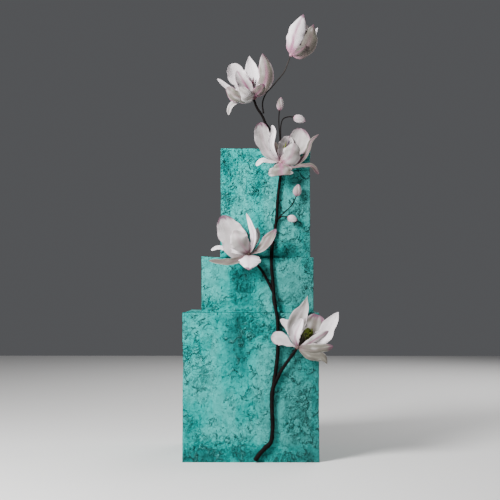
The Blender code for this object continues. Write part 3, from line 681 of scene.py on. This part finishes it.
def petal_shell(petal, phase, cup):
    """A petal's places, faces and colours: two skins that meet in a thin rim."""
    wide, long = PETAL_GRID
    turn = np.linspace(0, 1, long + 1)
    rows = (1 - END_CROWDING) * turn + END_CROWDING * (0.5 - 0.5 * np.cos(math.pi * turn))
    rim = RIM_CROWDING * math.pi / 2
    columns = np.sin(np.linspace(-rim, rim, wide + 1)) / math.sin(rim)
    along, across = [grid.ravel() for grid in np.meshgrid(rows, columns, indexing="ij")]
    middle = petal_points(petal, along, across, phase)
    grid = middle.reshape(long + 1, wide + 1, 3)
    normals = np.cross(np.gradient(grid, axis=0), np.gradient(grid, axis=1)).reshape(-1, 3)
    normals /= np.linalg.norm(normals, axis=1)[:, None] + 1e-9
    thick = PETAL_THICKNESS / 2 * (1 - np.abs(across) ** 5) * (1 - np.abs(2 * along - 1) ** 12)
    number = np.arange(len(along)).reshape(long + 1, wide + 1)
    inside = np.zeros((long + 1, wide + 1), bool)
    inside[1:-1, 1:-1] = True
    under = number.copy()
    under[inside] = len(along) + np.arange(inside.sum())
    kept = inside.ravel()
    places = np.vstack([middle + normals * thick[:, None], (middle - normals * thick[:, None])[kept]])
    colours = petal_colours(petal.dye, along, across, phase, cup)
    faces = []
    for sheet, order in ((number, (0, 1, 2, 3)), (under, (3, 2, 1, 0))):
        ring = (sheet[:-1, :-1], sheet[1:, :-1], sheet[1:, 1:], sheet[:-1, 1:])
        faces.append(np.stack([ring[corner].ravel() for corner in order], axis=-1))
    return places, np.concatenate(faces), np.vstack([colours, colours[kept]])


def ring_faces(rings, sides):
    """Quads between rings of points, each ring closed."""
    number = np.arange(rings * sides).reshape(rings, sides)
    after = np.roll(number, -1, axis=1)
    return np.stack([number[:-1], after[:-1], after[1:], number[1:]], -1).reshape(-1, 4).tolist()


def capped_faces(rings, sides):
    """The rings' quads, and fans to the two end points after them."""
    first_end, last_ring = rings * sides, (rings - 1) * sides
    faces = ring_faces(rings, sides)
    for side in range(sides):
        after = (side + 1) % sides
        faces.append((first_end, after, side))
        faces.append((first_end + 1, last_ring + side, last_ring + after))
    return faces


def cup_shell(centre, radius, colour):
    turn, rise = np.meshgrid(turns(CUP_SIDES), np.linspace(0, math.pi, CUP_RINGS + 1)[1:-1])
    rings = np.stack([np.sin(rise) * np.cos(turn), np.sin(rise) * np.sin(turn), -np.cos(rise)], -1)
    ball = np.vstack([rings.reshape(-1, 3), (0, 0, -1), (0, 0, 1)])
    return centre + ball * radius, capped_faces(CUP_RINGS - 1, CUP_SIDES), np.tile(colour, (len(ball), 1))


def join_shells(name, shells):
    """One mesh with a colour at each point, from shells of places, faces and colours."""
    places, faces, colours, start = [], [], [], 0
    for shell_places, shell_faces, shell_colours in shells:
        places.append(shell_places)
        colours.append(shell_colours)
        faces += [[int(corner) + start for corner in face] for face in shell_faces]
        start += len(shell_places)
    mesh = mesh_from(name, np.vstack(places), faces)
    set_colours(mesh, "tint", np.vstack(colours))
    return mesh


def add_flower(name, flower):
    base = np.array(flower.base, float)
    shells = [cup_shell(base, flower.cup_radius * CUP_SHRINK, flower.cup[0])]
    for number, petal in enumerate(flower.petals):
        places, faces, colours = petal_shell(petal, number * RUFFLE_STEP, flower.cup)
        shells.append((base + places, faces, colours))
    mesh = join_shells(name.replace("flower", "petals"), shells)
    dress(mesh, petal_material(), name)


def frames_along(route):
    """Tangents and two steady side vectors at each point of a route."""
    tangents = unit(np.gradient(route, axis=0))
    side = np.cross(tangents[0], (0.3, 1, 0.2))
    sides = []
    for tangent in tangents:
        side = unit(side - tangent * (side @ tangent))
        sides.append(side)
    sides = np.array(sides)
    return tangents, sides, np.cross(tangents, sides)


def tube_shell(route, radii, colour, sides, roughness=0.0):
    """A closed tube with rounded ends, whose bark is rough by a share of its radius."""
    tangents, first, second = frames_along(route)
    turn = turns(sides)[None, :, None]
    around = first[:, None] * np.cos(turn) + second[:, None] * np.sin(turn)
    places = route[:, None] + around * radii[:, None, None]
    if roughness:
        flat = places.reshape(-1, 3)
        rough = layer_at(flat, "bark_grain") + 0.7 * layer_at(flat, "bark_lumps")
        girth = radii[:, None] * (1 + roughness * rough.reshape(len(route), sides))
        places = route[:, None] + around * girth[:, :, None]
    first_end = route[0] - tangents[0] * radii[0] * END_BULGE
    last_end = route[-1] + tangents[-1] * radii[-1] * END_BULGE
    places = np.vstack([places.reshape(-1, 3), first_end, last_end])
    return places, capped_faces(len(route), sides), np.tile(colour, (len(places), 1))


def stem_shell(name):
    """One stem of the branch: tapered, knotted, and flared where it leaves the main stem."""
    stem = STEMS[name]
    points = np.asarray(stem.route, float)
    length = np.linalg.norm(np.diff(points, axis=0), axis=1).sum()
    points[-1] += unit(points[-1] - points[-2]) * STEM_REACH
    route = smooth_route(points, int(length / STEM_STEP))
    share = np.linspace(0, 1, len(route))
    girth = 1 + (stem.end_radius / stem.start_radius - 1) * share
    if name == "main":
        for knot, swell in KNOTS:
            girth += swell * bell(share - knot, KNOT_REACH)
    else:
        girth += FLARE * np.exp(-share * length / (FLARE_REACH * stem.start_radius))
    return tube_shell(route, stem.start_radius * girth, BARK_BROWN, STEM_SIDES, BARK_ROUGHNESS)


def add_branch():
    shells = [stem_shell(name) for name in STEMS if name != "top"]
    dress(join_shells("bark_branch", shells), bark_material(), "branch")
    places, faces, colours = stem_shell("top")
    share = smooth_step(places[:, 2], *WIRE_TURNS)[:, None]
    mesh = join_shells("bark_stem_top", [(places, faces, colours + (WIRE_GREY - BARK_BROWN) * share)])
    dress(mesh, bark_material(), "stem_top")


def add_stamens():
    """The dark cone of the open flower, with short curved stamens over its upper three quarters."""
    node, foot, top, foot_radius, top_radius = STAMENS
    base = np.array(FLOWERS[node].base, float)
    foot, top = base + foot, base + top
    axis = unit(top - foot)
    first = unit(np.cross(axis, (0, 1, 0)))
    second = np.cross(axis, first)
    shares = np.linspace(0, 1, CONE_RINGS)
    route = foot + (top - foot) * shares[:, None]
    dome = np.sqrt(np.clip(1 - (2 * shares - 1) ** 2, 0.02, 1))
    radii = (foot_radius + (top_radius - foot_radius) * shares) * dome * CONE_GIRTH
    shells = [tube_shell(route, radii, CONE_BROWN, sides=20, roughness=0.08)]
    draw = np.random.default_rng(STAMEN_SEED)
    run = np.linspace(0, 1, len(STAMEN_RADII))[:, None]
    for number in range(STAMEN_COUNT):
        share = STAMEN_FROM + STAMEN_SPREAD * math.sqrt((number + 0.5) / STAMEN_COUNT)
        turn = number * GOLDEN_TURN
        around = first * math.cos(turn) + second * math.sin(turn)
        start = foot + (top - foot) * share + around * np.interp(share, shares, radii) * 0.85
        lean = around * (1.15 - 0.8 * share) + axis * (0.5 + 0.9 * share)
        lean = unit(lean + draw.normal(0, STAMEN_SWAY, 3))
        curl = draw.normal(0, STAMEN_CURL, 3) + axis * 0.6
        size = draw.uniform(*STAMEN_LENGTH) * (0.6 + 0.4 * share)
        path = start + lean * run * size + curl * run**2
        ripe = smooth_step(share + draw.normal(0, 0.2), 0.4, 0.85)
        colour = CONE_BROWN + (STAMEN_GREEN - CONE_BROWN) * ripe
        places, faces, colours = tube_shell(path, STAMEN_RADII, colour, STAMEN_SIDES)
        colours[:2 * STAMEN_SIDES] = CONE_BROWN
        shells.append((places, faces, colours))
    material = petal_material("stamens", gloss=0.08)
    dress(join_shells("stamens_right", shells), material, node)


def add_peeps():
    """Slim spindles of stamens that show between the petals of the half-open flowers."""
    run = np.linspace(0, 1, len(PEEP_RADII))[:, None]
    for node, spindles in PEEPS.items():
        base = np.array(FLOWERS[node].base, float)
        shells = []
        for foot, tip, radius, colour in spindles:
            route = base + foot + (np.array(tip, float) - foot) * run
            shells.append(tube_shell(route, radius * PEEP_RADII, colour, sides=8))
        mesh = join_shells(node.replace("flower", "pistil"), shells)
        dress(mesh, petal_material("pistil", gloss=0.1), node)


def bud_shell(bud):
    """A pointed bud of three petals wrapped over each other."""
    foot, tip = np.array(bud.foot, float), np.array(bud.tip, float)
    length = np.linalg.norm(tip - foot)
    turn = np.array(Vector(tip - foot).to_track_quat("Z", "Y").to_matrix())
    around, rise = np.meshgrid(turns(BUD_SIDES), np.linspace(0, math.pi, BUD_RINGS))
    share = (1 - np.cos(rise)) / 2
    wrap = (around / (2 * math.pi) * BUD_PETALS + BUD_TWIST * share) % 1
    lap = smooth_step(wrap, 0, LAP_EDGE) * (1 - 0.9 * wrap)
    girth = bud.radius * BUD_FULLNESS * (1 - BUD_TAPER * share**2) * np.sin(rise)
    girth = girth * (0.93 + LAP_HEIGHT * lap)
    places = np.stack([girth * np.cos(around), girth * np.sin(around), share * length], -1)
    streak = 0.4 * bell(wrap - 0.5, 0.16) + 0.5 * bell(wrap, 0.08)
    pink = 0.8 * np.exp(-share * 4) + streak * (0.5 + 0.4 * share) + 0.6 * smooth_step(share, 0.75, 1)
    grey = np.clip(0.6 * (1 - lap) + bud.grey, 0, 1)
    colours = toward(toward(SUGAR_WHITE, SUGAR_GREY, grey), PINK, np.clip(pink, 0, 0.9))
    return foot + places.reshape(-1, 3) @ turn.T, ring_faces(BUD_RINGS, BUD_SIDES), colours.reshape(-1, 3)


def add_bud(name, bud):
    foot, tip = np.array(bud.foot, float), np.array(bud.tip, float)
    route = foot + unit(tip - foot) * COLLAR_STEPS[:, None]
    collar = tube_shell(route, COLLAR_RADII * bud.radius / COLLAR_BUD, COLLAR_BROWN, sides=12)
    mesh = join_shells(name + "_sugar", [bud_shell(bud), collar])
    dress(mesh, petal_material(), name)


def dress(mesh, material, node):
    """Makes a piece with its material, its body and the solid that it stands for."""
    mesh.materials.append(material)
    piece = make_object(mesh.name, mesh)
    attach(piece, "root")
    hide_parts(node)


class Tree:
    """A material's nodes, added and linked in one call each."""

    def __init__(self, name, gloss=0.5):
        self.material = bpy.data.materials.new(name)
        self.material.use_nodes = True
        self.nodes = self.material.node_tree.nodes
        self.links = self.material.node_tree.links
        self.shader = self.nodes["Principled BSDF"]
        self.feed(self.shader, "Specular IOR Level", gloss)

    def add(self, kind, inputs=None, **settings):
        made = self.nodes.new("ShaderNode" + kind)
        for name, value in settings.items():
            setattr(made, name, value)
        for name, value in (inputs or {}).items():
            self.feed(made, name, value)
        return made

    def feed(self, target, name, value):
        if isinstance(value, bpy.types.NodeSocket):
            self.links.new(value, target.inputs[name])
        else:
            target.inputs[name].default_value = value

    def attribute(self, name, output="Fac"):
        return self.add("Attribute", attribute_name=name).outputs[output]

    def place(self, scale=(1, 1, 1)):
        object_place = self.add("TexCoord").outputs["Object"]
        return self.add("Mapping", {"Vector": object_place, "Scale": scale}).outputs["Vector"]

    def noise(self, scale, detail, roughness, stretch=(1, 1, 1), distortion=0.0, output="Fac"):
        inputs = {"Vector": self.place(stretch), "Scale": scale, "Detail": detail,
                  "Roughness": roughness, "Distortion": distortion}
        return self.add("TexNoise", inputs).outputs[output]

    def texture(self, name):
        return self.noise(*TEXTURES[name])

    def ramp(self, factor, stops):
        made = self.add("ValToRGB", {"Fac": factor})
        elements = made.color_ramp.elements
        while len(elements) < len(stops):
            elements.new(1.0)
        for element, (position, colour) in zip(elements, stops):
            element.position = position
            element.color = colour
        return made.outputs["Color"]

    def math(self, operation, *values):
        return self.add("Math", dict(enumerate(values)), operation=operation).outputs[0]

    def vector(self, operation, *values):
        made = self.add("VectorMath", dict(enumerate(values)), operation=operation)
        return made.outputs["Value" if operation == "DOT_PRODUCT" else "Vector"]

    def remap(self, value, low, high, start=0.0, end=1.0, curve="LINEAR"):
        """The value's way from start to end, turned into one from low to high."""
        inputs = {"Value": value, "From Min": start, "From Max": end, "To Min": low, "To Max": high}
        return self.add("MapRange", inputs, interpolation_type=curve).outputs["Result"]

    def fade(self, value, start, end, low=0.0, high=1.0):
        return self.remap(value, low, high, start, end, "SMOOTHSTEP")

    def mix(self, factor, first, second, blend="MIX"):
        made = self.add("Mix", data_type="RGBA", blend_type=blend)
        for index, value in ((0, factor), (6, first), (7, second)):
            self.feed(made, index, value)
        return made.outputs[2]

    def bump(self, height, distance, strength=1.0, normal=None):
        made = self.add("Bump", {"Height": height, "Distance": distance, "Strength": strength})
        if normal:
            self.feed(made, "Normal", normal)
        return made.outputs["Normal"]

    def crackle(self, scale, patches):
        """Leaning plates and open creases between them: the height, and where the creases and lips run."""
        middle = (0.5, 0.5, 0.5)
        bends = self.noise(scale * 0.8, 4.0, 0.6, output="Color")
        bends = self.vector("SUBTRACT", bends, middle)
        moved = self.vector("MULTIPLY_ADD", bends, (BEND_REACH / scale,) * 3, self.place())
        plates = self.add("TexVoronoi", {"Vector": moved, "Scale": scale}).outputs
        lean = self.vector("SUBTRACT", plates["Color"], middle)
        offset = self.vector("SUBTRACT", moved, plates["Position"])
        slope = self.math("MULTIPLY", self.vector("DOT_PRODUCT", lean, offset), scale)
        creases = self.noise(scale * 0.7, 2.0, 0.55, distortion=0.2)
        away = self.math("ABSOLUTE", self.math("SUBTRACT", creases, 0.5))
        gaps = self.noise(scale * 0.7, 3.0, 0.5, (1.7, 1.7, 1.7))
        shown = self.remap(self.math("MULTIPLY_ADD", patches, 0.24, gaps), 0.0, 1.0, 0.6, 0.7)
        crack = self.math("MULTIPLY", self.fade(away, 0.0, CRACK_REACH, 1.0, 0.0), shown)
        lip = self.math("MULTIPLY", self.fade(away, 0.0, LIP_REACH, 1.0, 0.0), shown)
        lip = self.math("SUBTRACT", lip, crack)
        height = self.math("MULTIPLY", lip, LIP_RISE)
        height = self.math("MULTIPLY_ADD", slope, self.remap(patches, *PLATE_LEAN), height)
        return self.math("MULTIPLY_ADD", crack, CRACK_DROP, height), crack, lip

    def finish(self, **inputs):
        for name, value in inputs.items():
            self.feed(self.shader, name.replace("_", " "), value)
        return self.material


def icing_material():
    """Pale to deep teal by the washes, mottled and streaked; darker in the cracks and deep relief as
    painted shade and gathered wash, paler on the lips as wear and painted highlight, with painted shade
    towards the right and painted light higher up.
    """
    tree = Tree("icing", gloss=0.12)
    mottle = tree.texture("mottle")
    crumple = tree.attribute("crumple")
    position = tree.add("SeparateXYZ", {0: tree.place()}).outputs
    # Painted shade on the right: the wash thins there, and the colour greys and darkens
    painted_right_shade = tree.fade(position["X"], *RIGHT_SHADE_SPAN)
    # Painted light: the icing brightens higher up
    painted_high_light = tree.fade(position["Z"], *HIGH_PAINTED_LIGHT)

    wash = tree.math("SUBTRACT", tree.attribute("wash"), 0.15)
    wash = tree.math("MULTIPLY_ADD", mottle, MOTTLE_WASH, wash)
    wash = tree.math("MULTIPLY_ADD", tree.texture("streaks"), STREAK_WASH, wash)
    # Painted shade and gathered wash where the relief is deep
    wash = tree.math("MULTIPLY_ADD", tree.attribute("sunk"), SUNK_SHADE_AND_WASH, wash)
    wash = tree.math("MULTIPLY_ADD", painted_right_shade, RIGHT_SHADE_WASH, wash)
    colour = tree.ramp(wash, WASH_STOPS)

    wide_height, wide_crack, wide_lip = tree.crackle(WIDE_PLATES, crumple)
    fine_height, fine_crack, fine_lip = tree.crackle(FINE_PLATES, crumple)
    # The cracks, with a little of the icing's own crack lines, are darkened as painted shade and gathered
    # wash
    crack = tree.math("MAXIMUM", wide_crack, tree.math("MULTIPLY", fine_crack, 0.7))
    crack = tree.math("MAXIMUM", crack, tree.math("MULTIPLY", tree.attribute("cracked"), 0.06))
    lip = tree.math("MAXIMUM", wide_lip, tree.math("MULTIPLY", fine_lip, 0.6))
    # Wear and painted highlight pale the lips
    colour = tree.mix(tree.math("MULTIPLY", lip, LIP_WEAR_AND_HIGHLIGHT), colour, WORN_AND_LIT_TEAL)
    colour = tree.mix(tree.math("MULTIPLY", crack, CRACK_SHADOW_AND_STAIN), colour, CRACK_SHADE_AND_STAIN_TEAL)
    # Painted shade on the right greys the colour
    colour = tree.mix(tree.math("MULTIPLY", painted_right_shade, RIGHT_SHADE_GREYING), colour, SHADE_GREY_TEAL)
    # Painted shade and painted light scale the colour: darker towards the right, brighter higher up
    painted_light_scale = tree.math("MULTIPLY_ADD", painted_right_shade, RIGHT_SHADE_DARKENING, painted_high_light)
    colour = tree.add("VectorMath", {0: colour, "Scale": painted_light_scale}, operation="SCALE").outputs[0]

    grain = tree.math("MULTIPLY", tree.texture("grain"), tree.remap(crumple, 0.25, 1.0))
    dabs = tree.math("MULTIPLY", tree.texture("dabs"), tree.remap(crumple, 0.12, 1.0))
    normal = tree.bump(grain, distance=0.0020, strength=0.9)
    normal = tree.bump(dabs, distance=0.0060, normal=normal)
    normal = tree.bump(fine_height, distance=0.0070, normal=normal)
    normal = tree.bump(wide_height, distance=0.0170, normal=normal)
    return tree.finish(Base_Color=colour, Roughness=tree.remap(mottle, 0.5, 0.75), Normal=normal)


def petal_material(name="sugar", gloss=0.3):
    """Thin matte sugar: its dusted colours and a soft grain."""
    tree = Tree(name, gloss)
    grain = tree.texture("sugar")
    colour = tree.mix(1.0, tree.attribute("tint", "Color"), tree.ramp(grain, SUGAR_STOPS), "MULTIPLY")
    return tree.finish(Base_Color=colour, Roughness=tree.remap(grain, 0.5, 0.7))


def bark_material():
    """Nearly black brown bark with slightly paler patches."""
    tree = Tree("bark", gloss=0.05)
    patches = tree.texture("bark")
    colour = tree.mix(1.0, tree.ramp(patches, BARK_STOPS), tree.attribute("tint", "Color"), "ADD")
    normal = tree.bump(tree.texture("bark_relief"), distance=0.0006, strength=0.9)
    return tree.finish(Base_Color=colour, Roughness=tree.remap(patches, 0.5, 0.8), Normal=normal)


def add_floor():
    corners = [(x * FLOOR_HALF, y * FLOOR_HALF, 0) for x, y in ((-1, -1), (1, -1), (1, 1), (-1, 1))]
    mesh = mesh_from("floor", corners, [(0, 1, 2, 3)])
    mesh.materials.append(Tree("floor").finish(Base_Color=FLOOR_COLOUR, Roughness=FLOOR_ROUGHNESS))
    make_object("floor", mesh)


def add_light(name, place, target, size, power):
    light = bpy.data.lights.new(name, "AREA")
    light.shape = "DISK"
    light.size = size
    light.energy = power
    body = make_object(name, light)
    body.location = place
    way = Vector(target) - Vector(place)
    body.rotation_euler = way.to_track_quat("-Z", "Y").to_euler()


def add_stage():
    """A pale floor and soft studio light, strongest from the upper left as in the photo."""
    add_floor()
    for lamp in LAMPS:
        add_light(*lamp)
    world = bpy.data.worlds.new("studio")
    world.use_nodes = True
    background = world.node_tree.nodes["Background"]
    background.inputs["Color"].default_value = WORLD_COLOUR
    background.inputs["Strength"].default_value = WORLD_STRENGTH
    bpy.context.scene.world = world


def add_camera():
    camera = bpy.data.cameras.new("camera")
    camera.lens = CAMERA_LENS
    camera.sensor_width = SENSOR
    body = make_object("camera", camera)
    body.location = CAMERA_PLACE
    body.rotation_euler = (math.pi / 2 + CAMERA_PITCH, 0, CAMERA_YAW)
    bpy.context.scene.camera = body


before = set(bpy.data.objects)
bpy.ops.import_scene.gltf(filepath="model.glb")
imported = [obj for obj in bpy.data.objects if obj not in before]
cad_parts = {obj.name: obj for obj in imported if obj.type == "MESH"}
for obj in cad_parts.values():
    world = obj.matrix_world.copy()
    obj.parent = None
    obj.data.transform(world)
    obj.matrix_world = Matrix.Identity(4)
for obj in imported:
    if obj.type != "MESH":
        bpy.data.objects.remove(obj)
noise.seed_set(NOISE_SEED)
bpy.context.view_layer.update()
add_camera()
add_stage()
foot = 0.0
for name, tier in TIERS.items():
    add_tier(name, tier, foot)
    foot += tier.height + TIER_GAP
add_branch()
for name, flower in FLOWERS.items():
    add_flower(name, flower)
add_stamens()
add_peeps()
for name, bud in BUDS.items():
    add_bud(name, bud)
